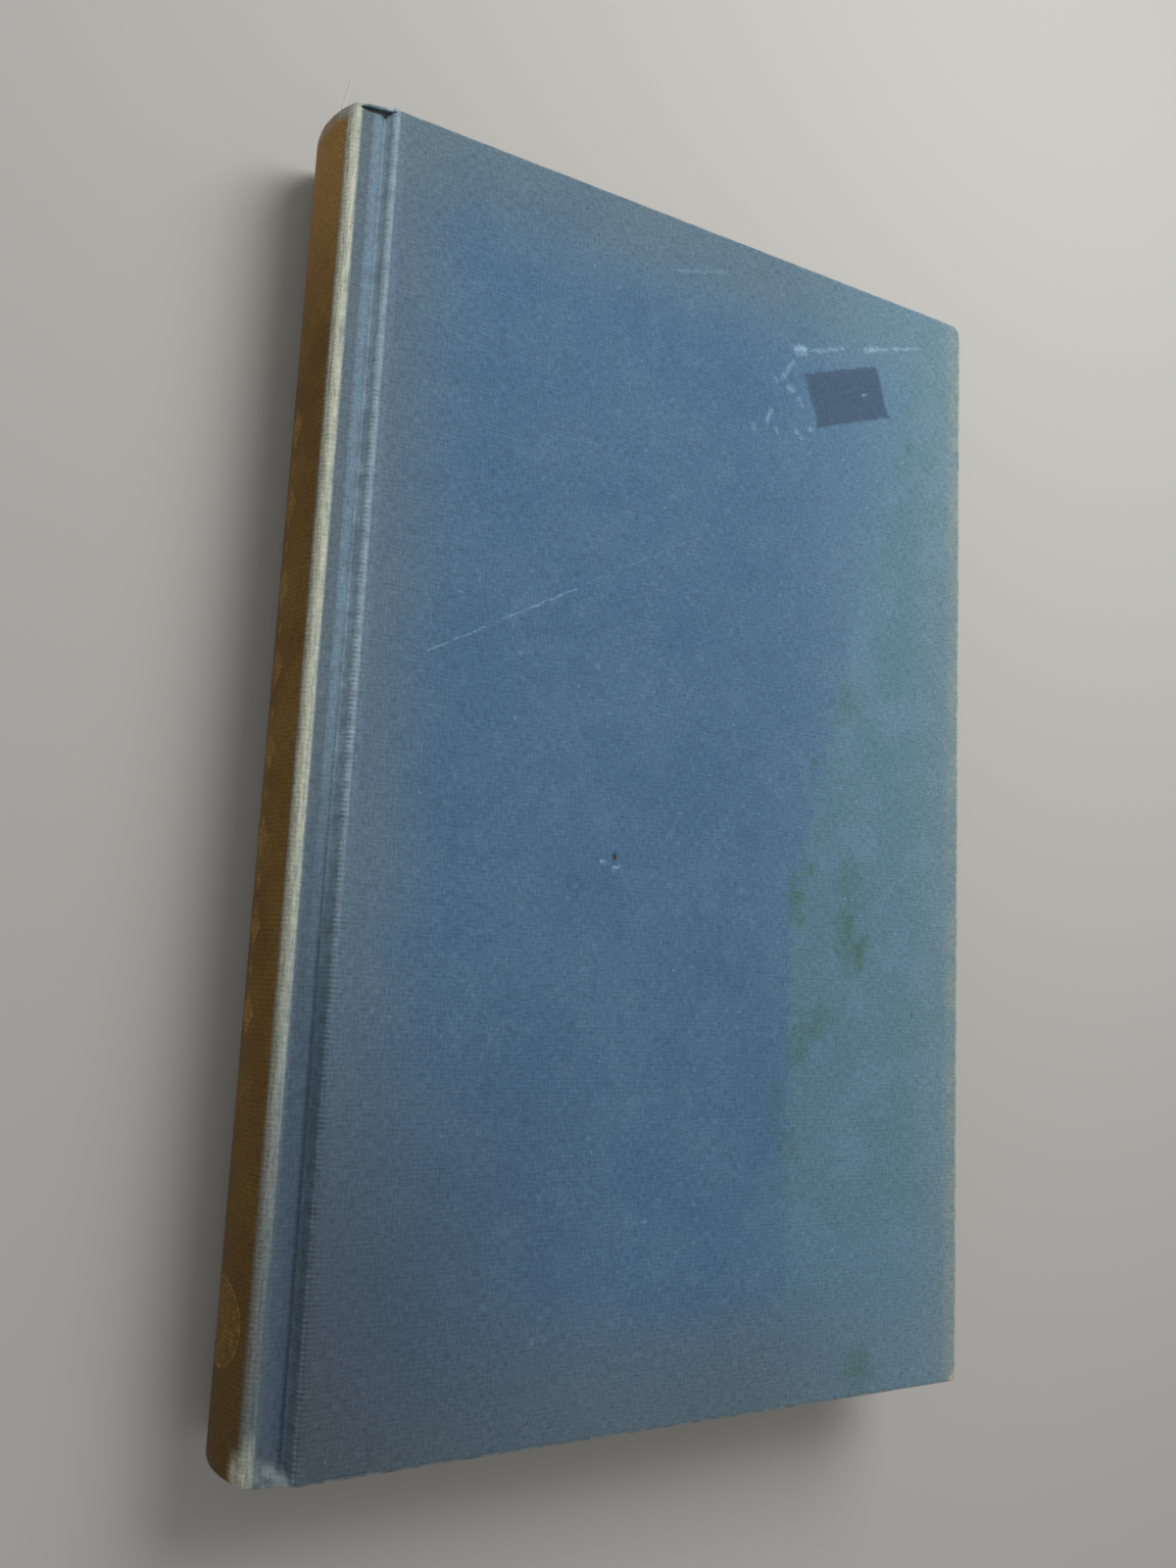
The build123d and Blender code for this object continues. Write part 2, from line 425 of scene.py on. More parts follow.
# A wave of the texture is 0.314 mm long at scale 1.
wave_mm = 2 * pi / 20


def mull_material():
    """Starched cotton gauze: a square grid of threads with dark gaps between them."""
    material, tree, shader = new_material("starched_cotton_mull")
    grid = {"Vector": place_in_mm(tree), "Scale": wave_mm / mull_pitch}
    across = add(tree, "TexWave", {"bands_direction": "X"}, grid)
    along = add(tree, "TexWave", {"bands_direction": "Y"}, grid)
    threads = add(tree, "Math", LARGER, {0: across, 1: along})
    colour = layered(tree, "8d7f62", [(threads, "dcd2b8")])
    finish(tree, shader, colour, threads, relief_mm=0.15, strength=0.7, roughness=0.9)
    return material


mull = mull_material()
for node in ("spine_mull", "front_mull_flange", "back_mull_flange"):
    dress(node, mull)


# The stiff papers. The back is lined with brown kraft paper, the spine of the case
# with thin manila card, and each cover is a grey-brown millboard.
def pulp_material(name, dark, light, fibre_mm, roughness):
    """Pressed paper pulp: flecked with fibres of about the given length."""
    material, tree, shader = new_material(name)
    flecks = {"Vector": place_in_mm(tree), "Scale": 1 / fibre_mm, "Detail": 6.0}
    fibres = add(tree, "TexNoise", None, flecks)
    shade = add(tree, "MapRange", None, {"Value": fibres, "From Min": 0.35, "From Max": 0.65})
    colour = layered(tree, dark, [(shade, light)])
    finish(tree, shader, colour, fibres, relief_mm=0.08, strength=0.5, roughness=roughness)
    return material


dress("spine_lining", pulp_material("brown_kraft_paper", "8a6a43", "a98558", 1.5, 0.8))
dress("spine_inlay", pulp_material("manila_card", "9c8460", "b89f77", 0.8, 0.85))
millboard = pulp_material("grey_brown_millboard", "8f8268", "b4a88c", 0.6, 0.95)
for side in (1, -1):
    dress(side_name(side) + "_board", millboard)


# The covering cloth. One piece of plain-woven, starch-filled book cloth, glued over
# boards and spine and turned in at the edges. It is split at the hinge lines here.
cloth_thickness = 0.33
shoulder_round = 1.3
weave_pitch = 0.66
turn_in = 15.0
tail_y = front_low.y
cloth_length = front_high.y - front_low.y
ridge_cream = "c4c7b3"

# The worn round of a shoulder in a section across the spine: the angles of its two ends
# and of the hinge line between them, and its centre as seen from the ridge line.
spine_end = pi - asin(ridge_rise / spine_radius)
joint_end = pi / 2 - atan2(shoulder_rise, groove_start)
hinge_turn = (spine_end + joint_end) / 2
shoulder_reach = shoulder_round * tan((spine_end - joint_end) / 2)
shoulder_x = shoulder_reach * sin(joint_end) - shoulder_round * cos(joint_end)
shoulder_z = ridge_rise - shoulder_reach * cos(joint_end) - shoulder_round * sin(joint_end)


def cloth_piece(name, points, faces, places):
    """Make a piece of cloth from its outer skin and the points' places on the flat cut cloth."""
    piece = new_piece(name, points, faces)
    cut = piece.data.attributes.new("cut_mm", "FLOAT_VECTOR", "POINT")
    cut.data.foreach_set("vector", [value for place in places for value in place])
    # The cut edges are shaded square. The inner side takes the second material.
    uses = Counter(loop.edge_index for loop in piece.data.loops)
    sharp = piece.data.attributes.new("sharp_edge", "BOOLEAN", "EDGE")
    sharp.data.foreach_set("value", [uses[edge.index] == 1 for edge in piece.data.edges])
    thickness = piece.modifiers.new("cloth_thickness", "SOLIDIFY")
    thickness.thickness = cloth_thickness * mm
    thickness.offset = -1
    thickness.material_offset = 1
    return piece


def cloth_relief(tree, cut, rib):
    """The height of the weave: slubby threads both ways, and ribs of the given share."""
    # The real threads lie 0.33 mm apart. They are drawn twice as coarse so that they show.
    uneven = {"Vector": cut, "Scale": wave_mm / weave_pitch, "Distortion": 1.2, "Detail Scale": 2.0}
    weft = add(tree, "TexWave", {"bands_direction": "Y"}, uneven)
    warp = add(tree, "TexWave", {"bands_direction": "X"}, uneven)
    slubs = []
    for stretch in ((0.8, 3.6, 1), (3.6, 0.8, 1)):
        drawn_out = add(tree, "VectorMath", TIMES, {0: cut, 1: stretch})
        slubs.append(add(tree, "TexNoise", None, {"Vector": drawn_out, "Scale": 1.0, "Detail": 3.0}))
    slubby = add(tree, "Math", {"operation": "ADD"}, {0: slubs[0], 1: slubs[1]})
    # Both waves together swing about 1.5 here, which the offset takes out again.
    waves = add(tree, "Math", {"operation": "MULTIPLY_ADD"}, {0: weft, 1: 2.0, 2: warp})
    centred = add(tree, "Math", {"operation": "SUBTRACT"}, {0: waves, 1: 1.5})
    return add(tree, "Math", {"operation": "MULTIPLY_ADD"}, {0: centred, 1: rib, 2: slubby})


def patchy(tree, vector, scale, low, high):
    """A mask of soft patches of noise, about 1/scale millimetres apart."""
    patches = add(tree, "TexNoise", None, {"Vector": vector, "Scale": scale, "Detail": 4.0})
    return add(tree, "MapRange", SMOOTH, {"Value": patches, "From Min": low, "From Max": high})


def fades(tree, rows):
    """Layers that grow smoothly: what they follow, from, to, strength and colour of each."""
    layers = []
    for value, start, end, strength, colour in rows:
        growth = {"Value": value, "From Min": start, "From Max": end, "To Max": strength}
        layers.append((add(tree, "MapRange", SMOOTH, growth), colour))
    return layers


def band(tree, value, middle, half, soft, uneven):
    """A mask along a line: 1 within half of the middle, and worn away by the noise."""
    away = add(tree, "Math", {"operation": "SUBTRACT"}, {0: value, 1: middle})
    distance = add(tree, "Math", {"operation": "ABSOLUTE"}, {0: away})
    reach = {"Value": distance, "From Min": half + soft, "From Max": half}
    inside = add(tree, "MapRange", SMOOTH, reach)
    return add(tree, "Math", TIMES, {0: inside, 1: uneven})


def rubbed_ridge(tree, cut, along):
    """How far the ridge is rubbed to bare thread: in streaks, and less near the tail."""
    fading = {"Value": along, "From Min": 95.0, "From Max": 15.0, "To Min": 1.0, "To Max": 0.15}
    tail_end = {"Value": along, "From Min": 9.0, "From Max": 3.0, "To Max": 0.6}
    faded = add(tree, "MapRange", SMOOTH, fading)
    at_tail = add(tree, "MapRange", SMOOTH, tail_end)
    left = add(tree, "Math", LARGER, {0: faded, 1: at_tail})
    drawn_out = add(tree, "VectorMath", TIMES, {0: cut, 1: (2.4, 0.16, 1)})
    streaks = patchy(tree, drawn_out, 1.0, 0.3, 0.6)
    uneven = add(tree, "MapRange", None, {"Value": streaks, "To Min": 0.5, "To Max": 1.0})
    return add(tree, "Math", TIMES, {0: left, 1: uneven})


def finish_cloth(tree, shader, colour, height, strength, streaks=0.0):
    """A matt woven surface: the slubs' own uneven tone, with painted shade between the threads and painted
    light on the high ones.
    """
    if streaks:
        # Painted shade and light: the weave's low places darker, its high threads lighter.
        painted_thread_shade = add(tree, "MapRange", None, {"Value": height, "From Min": 0.7, "From Max": 1.3})
        overlay = {"data_type": "RGBA", "blend_type": "OVERLAY"}
        colour = add(tree, "Mix", overlay, {"Factor": streaks, "A": colour, "B": painted_thread_shade})
    finish(tree, shader, colour, height, 0.08, strength, roughness=0.85, gloss=0.25)
    plug(tree, shader, {"Sheen Weight": 0.04, "Sheen Roughness": 0.5})


def reverse_and_slit_shade_material():
    """The glued side of the cloth: grey-blue threads dulled by the dried paste, painted dark so that the
    pocket seen through the slit at the head reads as shade.
    """
    material, tree, shader = new_material("pasted_reverse_of_book_cloth_and_slit_shade")
    cut = add(tree, "Attribute", {"attribute_name": "cut_mm"}).outputs["Vector"]
    height = cloth_relief(tree, cut, 0.09)
    colour = layered(tree, "414d55", [(patchy(tree, cut, 0.4, 0.35, 0.65), "4c5558")])
    finish_cloth(tree, shader, colour, height, 0.5)
    return material


# The reverse is painted dark: painted shade for the pocket under the slit at the head.
reverse_and_slit_shade = reverse_and_slit_shade_material()


# The spine's cloth. It goes round the card from shoulder to shoulder, and is rolled
# over it at the head and the tail. Light has turned its blue to an olive brown.
spine_shell = 1.3
hinge_shell = 0.6
spine_turn_in_rows = (14.4, 8.0, 3.0)
cap_steps = 6
spine_arc_steps = 14
shoulder_steps = 4
spine_rows = 190
spine_brown = "6c4e20"
spine_olive = "7a5e26"
# Painted light for the head end of the spine, which faces away from the lamp.
spine_head_painted_light = "a67e40"
spine_tail = "5a431b"
spine_grey = "646c6c"
worn_gilt = "a8823a"
cap_grey = "a0aaa6"

spine_arc_end = asin(ridge_rise / spine_radius) - shoulder_reach / spine_radius
half_arc = spine_radius * spine_arc_end
half_girth = half_arc + shoulder_round * (spine_end - hinge_turn)
outline_y = front_high.y


def spine_cloth_skin():
    """Half a section, mirrored, swept along the spine and rolled over at both ends."""
    half = []
    for step in range(spine_arc_steps + 1):
        turn = spine_arc_end * step / spine_arc_steps
        outward = (-cos(turn), sin(turn))
        x = spine_centre_x + spine_radius * outward[0]
        half.append((x, spine_radius * outward[1], outward, spine_shell, spine_radius * turn))
    for step in range(1, shoulder_steps + 1):
        turn = spine_end + (hinge_turn - spine_end) * step / shoulder_steps
        outward = (cos(turn), sin(turn))
        x = ridge_x + shoulder_x + shoulder_round * outward[0]
        z = shoulder_z + shoulder_round * outward[1]
        shell = spine_shell + (hinge_shell - spine_shell) * step / shoulder_steps
        half.append((x, z, outward, shell, half_arc + shoulder_round * (spine_end - turn)))
    mirrored = [(x, -z, (ox, -oz), shell, -along) for x, z, (ox, oz), shell, along in half[1:]]
    section = mirrored[::-1] + half

    # Each row of an end: how far it lies inside the end, in mm where the cloth is turned
    # in and in thicknesses of the shell where it rolls over, and how deep in the shell.
    end_rows = [(inset, 1.0, True) for inset in spine_turn_in_rows]
    for step in range(cap_steps, 0, -1):
        turn = pi * step / cap_steps
        end_rows.append(((1 - sin(turn)) / 2, (1 - cos(turn)) / 2, False))
    rows = [(-1, *row) for row in end_rows]
    rows += [(0, row / spine_rows, 0, False) for row in range(spine_rows + 1)]
    rows += [(1, *row) for row in reversed(end_rows)]
    points = []
    places = []
    for end, inset, depth, turned_in in rows:
        for x, z, outward, shell, along in section:
            if end == 0:
                y = (outline_y - shell / 2) * (2 * inset - 1)
                cut_y = y
            elif turned_in:
                y = end * (outline_y - inset)
                cut_y = y + end * 2 * inset
            else:
                y = end * (outline_y - inset * shell)
                cut_y = y + end * depth * shell
            drop = depth * shell
            points.append((x - outward[0] * drop, y, middle_z + z - outward[1] * drop))
            places.append((along, cut_y - tail_y, 0))
    faces = net_faces(len(rows), len(section))
    return cloth_piece("spine_cover_cloth", points, faces, places)


def from_middle(tree, vector, place, half_sizes, turn=0.0):
    """How far a point is from a mark's middle, along the mark and across it, in half sizes."""
    placed = {"Vector": vector, "Location": (*place, 0), "Scale": (*half_sizes, 1)}
    local = add(tree, "Mapping", {"vector_type": "TEXTURE"}, placed | {"Rotation": (0, 0, turn)})
    sizes = add(tree, "VectorMath", {"operation": "ABSOLUTE"}, {0: local})
    parts = add(tree, "SeparateXYZ", None, {"Vector": sizes})
    return parts.outputs["X"], parts.outputs["Y"]


def oval_reach(tree, vector, place, half_sizes):
    """How far a point is from an oval's middle: 1 on its outline."""
    placed = {"Vector": vector, "Location": (*place, 0), "Scale": (*half_sizes, 1)}
    local = add(tree, "Mapping", {"vector_type": "TEXTURE"}, placed)
    return add(tree, "VectorMath", {"operation": "LENGTH"}, {0: local}).outputs["Value"]


def gilding(tree, cut, wear, fine):
    """Worn gilt tooling: a plain oval at the tail, and a row of lozenges and dots."""
    lozenges = [(58.0 + 12.0 * number, 2.6, 3.2) for number in range(8)]
    dots = [(64.0 + 12.0 * number, 1.1, 1.1) for number in range(7)]
    tooled = 0.0
    for place, wide, tall in lozenges + dots:
        across, along = from_middle(tree, cut, (0, place), (wide, tall))
        reach = add(tree, "Math", {"operation": "ADD"}, {0: across, 1: along})
        mark = add(tree, "MapRange", None, {"Value": reach, "From Min": 1.1, "From Max": 0.9})
        tooled = add(tree, "Math", LARGER, {0: mark, 1: tooled})
    reach = oval_reach(tree, cut, (0, 18.2), (6.2, 5.8))
    inside = {"Value": reach, "From Min": 1.0, "From Max": 0.8, "To Max": 0.55}
    field = add(tree, "MapRange", SMOOTH, inside)
    line = band(tree, reach, 0.95, 0.02, 0.04, 1.0)
    oval = add(tree, "Math", LARGER, {0: field, 1: line})
    tooled = add(tree, "Math", LARGER, {0: oval, 1: tooled})
    left = add(tree, "MapRange", None, {"Value": wear, "To Min": 0.3, "To Max": 1.0})
    grain = add(tree, "MapRange", None, {"Value": fine, "To Min": 0.2, "To Max": 0.9})
    speckled = add(tree, "Math", TIMES, {0: left, 1: grain})
    return add(tree, "Math", TIMES, {0: tooled, 1: speckled})


def spine_cloth_material():
    """Sun-toned book cloth: fine ribs, traces of gilding, and ridges rubbed to cream."""
    material, tree, shader = new_material("sun_toned_spine_book_cloth")
    cut = add(tree, "Attribute", {"attribute_name": "cut_mm"}).outputs["Vector"]
    parts = add(tree, "SeparateXYZ", None, {"Vector": cut})
    along = parts.outputs["Y"]
    girth = add(tree, "Math", {"operation": "ABSOLUTE"}, {0: parts.outputs["X"]})
    height = cloth_relief(tree, cut, 0.09)
    mottle = patchy(tree, cut, 0.08, 0.35, 0.65)
    wear = patchy(tree, cut, 0.5, 0.35, 0.6)
    fine = patchy(tree, cut, 2.2, 0.35, 0.65)
    worn_ends = add(tree, "MapRange", None, {"Value": wear, "To Min": 0.2, "To Max": 0.9})
    beside = band(tree, girth, half_girth, 1.6, 2.4, worn_ends)
    layers = [(mottle, spine_olive)]
    layers += fades(tree, [
        (along, 60.0, 5.0, 0.8, spine_tail),
        # Painted light: the head end of the spine is painted lighter, since it lies in shade.
        (along, 150.0, 186.0, 0.85, spine_head_painted_light),
    ])
    layers += [
        (band(tree, girth, half_girth, 0.5, 1.7, 0.95), spine_grey),
        (gilding(tree, cut, wear, fine), worn_gilt),
        (band(tree, girth, half_girth, 0.75, 0.9, rubbed_ridge(tree, cut, along)), ridge_cream),
        (band(tree, along, cloth_length, 1.0, 1.8, worn_ends), cap_grey),
        (band(tree, along, 0.0, 2.0, 3.0, beside), ridge_cream),
    ]
    colour = layered(tree, spine_brown, layers)
    finish_cloth(tree, shader, colour, height, 0.7, streaks=0.32)
    return material


spine_skin = spine_cloth_skin()
spine_skin.data.materials.append(spine_cloth_material())
spine_skin.data.materials.append(reverse_and_slit_shade)
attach(spine_skin, "book_block")
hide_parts("spine_cloth")


# The covers' cloth. It leaves the shoulder, dips into the groove, climbs the board's
# edge in small puckers, and is turned in over the board's other three edges.
pucker_pitch = 0.67
pucker_height = 0.1
pucker_lean = 0.7
hidden_pucker_share = 0.4
joint_waver = 0.06
board_waver = 0.05
outline_x = front_high.x - ridge_x
ridge_depth = front_high.z - middle_z - ridge_rise
deepest_y = -60
flattest_y = 30

# The net: rows from the tail to the head, and columns from the ridge to the fore edge.
rows_per_pucker = 4
last_row = round(cloth_length / pucker_pitch) * rows_per_pucker
board_row_step = 4
fine_end_rows = 12
joint_net_end = 8.4
board_columns = 27
rim_columns = 4
rim_width = 1.0

# The split at the head, where the cloth has parted from the strand of its fold. That
# strand runs straight over the groove, and so does the pressed fold at the tail.
slit_from = 1.0
slit_to = 5.8
slit_rows = 2
slit_line = 94.35
slit_pull = 0.15
strand_push = 0.2
strand_from = 0.5
strand_to = 6.4
strand_gap = 0.02
strand_dip = 0.22
flattened_at_tail = 0.85

# The folds over the board's edges, its rounded corners, and the turned-in cloth.
edge_fold = 0.6
joint_edge_fold = 0.4
inner_edge_fold = 0.4
largest_fold_share = 0.45
joint_fold = 0.8
edge_turns = (pi / 6, pi / 3, pi / 2)
edge_waver = 0.06
edge_fray = 0.14
rim_x = outline_x - edge_fold
worn_corner_reach = 1.9
kept_corner_reach = worn_corner_reach / 3
turn_in_rows = (1.9, 3.0, 8.0, turn_in - 0.4)
turn_in_tuck = 0.35

cloth_blue = "51718d"
cloth_blue_deep = "4b6c8a"
cloth_dusty = "708ea1"
cloth_worn_dark = "425c76"
cloth_grey = "66767f"
cloth_tail = "5c6b72"
cloth_head = "66797f"
cloth_light = "6a8a9b"
# Painted shade for the cover's spine side towards the tail.
painted_corner_shade = "46525e"
cloth_teal = "51777f"
slope_soiled = "606d74"
# Faded cloth on the swell, and painted light on the shaded wall of the deep groove.
faded_and_painted_light_blue = "8098a9"
# Painted shade over the swell of the deep groove.
swell_shaded = "46586a"
# Painted shade in the crease at the bottom of the groove.
crease_painted_shade = "3a4c5f"
# Threads rubbed pale, and painted light, on the wall of the flatter groove.
wall_rubbed_and_painted_light = "adc7d8"
board_rubbed = "a2b9c4"
fore_edge_tone = "768b93"
edge_beige = "869590"
edge_pale = "a7b0aa"
corner_grey = "8d9690"
label_blue = "40546a"
scuff_pale = "93b5c8"
chip_pale = "b9c4c0"
stain_brown = "33291c"
stain_green = "4a6a5e"
board_bare = "c4bca6"


def smooth_step(value, low, high):
    """0 below low, 1 above high, and smooth between them."""
    share = min(1.0, max(0.0, (value - low) / (high - low)))
    return share * share * (3 - 2 * share)


def waver(x, y, z):
    """A smooth random value between about -1 and 1."""
    return noise.noise(Vector((x, y, z)))


def joint_section(groove_fall, crease_x, crease, wall, round_start, round_width, round_depth):
    """One section of the joint: (distance from the ridge, depth under the board's face)."""
    columns = []
    for step in range(shoulder_steps + 1):
        turn = hinge_turn + (joint_end - hinge_turn) * step / shoulder_steps
        rise = middle_z + shoulder_z + shoulder_round * sin(turn)
        columns.append((shoulder_x + shoulder_round * cos(turn), front_high.z - rise))
    for x in (1.4, 2.0, 2.6, 3.2, 3.8, 4.1, crease_x - 0.25, crease_x, crease_x + 0.2):
        line = ridge_depth + groove_fall * min(x / groove_start, 1)
        dip = 0.1 * (1 - smooth_step(abs(x - 2.2), 0, 1.0))
        swell = 0.16 * (1 - smooth_step(abs(x - 3.7), 0, 1.0))
        fold = crease * (1 - smooth_step(abs(x - crease_x), 0, 0.5))
        columns.append((x, line + dip - swell + fold))
    columns += wall
    for step in range(6):
        turn = pi / 2 * step / 5
        columns.append((round_start + round_width * (1 - cos(turn)), round_depth * (1 - sin(turn))))
    return columns + [(7.3, 0.0), (7.8, 0.0), (joint_net_end, 0.0)]


def inner_depth(x):
    """How deep the inner face of the turned-in cloth lies under the board's face."""
    return front_high.z - front_low.z - shoulder_rise * (1 - min(x / groove_start, 1))


def edge_radius(x, depth):
    """How round the fold is at the head and the tail."""
    wanted = joint_edge_fold + (edge_fold - joint_edge_fold) * smooth_step(x, 5.2, 6.2)
    return min(wanted, largest_fold_share * (inner_depth(x) - depth))


def row_y(row, x, depth):
    """Where a row lies, from the tail to the head, inside the rounded ends."""
    return (2 * row / last_row - 1) * (outline_y - edge_radius(x, depth))


def pucker(x, y):
    """How far the cloth stands up in small gathers beside the groove, most at the tail."""
    beside = smooth_step(x, 4.9, 5.5) * (1 - smooth_step(x, 6.1, 7.8))
    swing = waver(y * 0.08, x * 0.3, 3.0)
    strength = 0.7 + 0.9 * waver(y * 0.35, 7.0, 0)
    towards_tail = 0.3 + 0.7 * smooth_step(-y, -60, -10)
    wave = sin(2 * pi * y / pucker_pitch + 2.0 * swing + 1.2 * (x - 5.5))
    return pucker_height * towards_tail * beside * strength * wave


def slit_width(x):
    """How wide the worn slit beside the head is at one distance from the ridge."""
    share = (x - slit_from) / (slit_to - slit_from)
    if not 0 < share < 1:
        return 0.0
    return sqrt(1 - share**2) * min(1, share * 6)


def parted(x, y):
    """Move the rows apart at the slit; the strand beyond it stands out a little."""
    if y > slit_line:
        return y + strand_push * slit_width(x)
    return y - slit_pull * slit_width(x) * max(0.0, 1 - (slit_line - y))


def strand_depth(x, depth):
    """Beyond the slit the cloth runs straight from the ridge to the board."""
    share = (x - strand_from) / (strand_to - strand_from)
    if not 0 < share < 1:
        return depth
    return min(depth, ridge_depth * (1 - share) + strand_gap + strand_dip * sin(pi * share))


def joint_place(x, y, depth, row, worn):
    """Where puckers, soft waves, wear at the tail and the slit at the head put a point."""
    lift = pucker(x, y) * (1 if worn else hidden_pucker_share)
    if 1 < x < 5:
        depth += joint_waver * waver(x * 0.4, y * 0.15, 1.0)
    down = depth - pucker_lean * lift
    if worn and row > last_row - slit_rows:
        down = strand_depth(x, down)
    if y < 0:
        at_tail = flattened_at_tail * smooth_step(-y, outline_y - 2.2, outline_y - 0.5)
        down += (strand_depth(x, down) - down) * at_tail
    return x - pucker_lean * lift, parted(x, y) if worn else y, down


def board_sink(x, y):
    """How far the flat cloth sinks in shallow waves, none of them near the rims."""
    waves = board_waver * (1 + waver(x * 0.05, y * 0.05, 9.0))
    return waves * smooth_step(rim_x - x, 0, 6) * smooth_step(outline_y - abs(y), 1, 8)


def frayed_edge(x, y, side):
    """How far an edge stands out: nearly straight, but ragged on the front at the tail."""
    smooth = edge_waver * (waver(x * 0.25, y * 0.25, 4.0 + side) - 0.5)
    if side < 0 or y > 0:
        return smooth
    ragged = edge_fray * waver(x * 1.7, y * 1.7, 8.0)
    return smooth + ragged * (0.35 + 0.65 * smooth_step(9 - x, 0, 4))


def from_corner(x, y):
    """The nearer fore-edge corner's round, and how far past its start a point lies."""
    reach = worn_corner_reach if y > 0 else kept_corner_reach
    return reach, x - (rim_x - reach), abs(y) - (outline_y - edge_fold - reach)


def rounded_corner(x, y):
    """Round the two corners at the fore edge, the one at the head more."""
    reach, past_x, past_y = from_corner(x, y)
    if past_x <= 0 or past_y <= 0:
        return x, y
    p = past_x / reach
    q = past_y / reach
    new_x = rim_x - reach + reach * p * sqrt(max(0.0, 1 - q * q / 2))
    new_y = outline_y - edge_fold - reach + reach * q * sqrt(max(0.0, 1 - p * p / 2))
    return new_x, new_y if y > 0 else -new_y


def border_normal(x, y, at_fore_edge):
    """The way out over an edge, in the plane of the board."""
    past_x, past_y = from_corner(x, y)[1:]
    upward = 1 if y > 0 else -1
    if past_x > 0 and past_y > 0:
        length = hypot(past_x, past_y)
        return past_x / length, upward * past_y / length
    return (1, 0) if at_fore_edge else (0, upward)


def over_edge(rounding, fold, bulge):
    """The cloth's way over an edge: how far out, how far down, and along how much cloth."""
    inner_round = min(inner_edge_fold, largest_fold_share * fold)
    steps = [(rounding * sin(turn), rounding * (1 - cos(turn)), rounding * turn) for turn in edge_turns]
    middle = (rounding + fold - inner_round) / 2
    along = rounding * pi / 2
    steps.append((rounding + bulge, middle, along + middle - rounding))
    along += fold - inner_round - rounding
    steps.append((rounding, fold - inner_round, along))
    for turn in edge_turns:
        out = rounding - inner_round * (1 - cos(turn))
        steps.append((out, fold - inner_round + inner_round * sin(turn), along + inner_round * turn))
    return steps


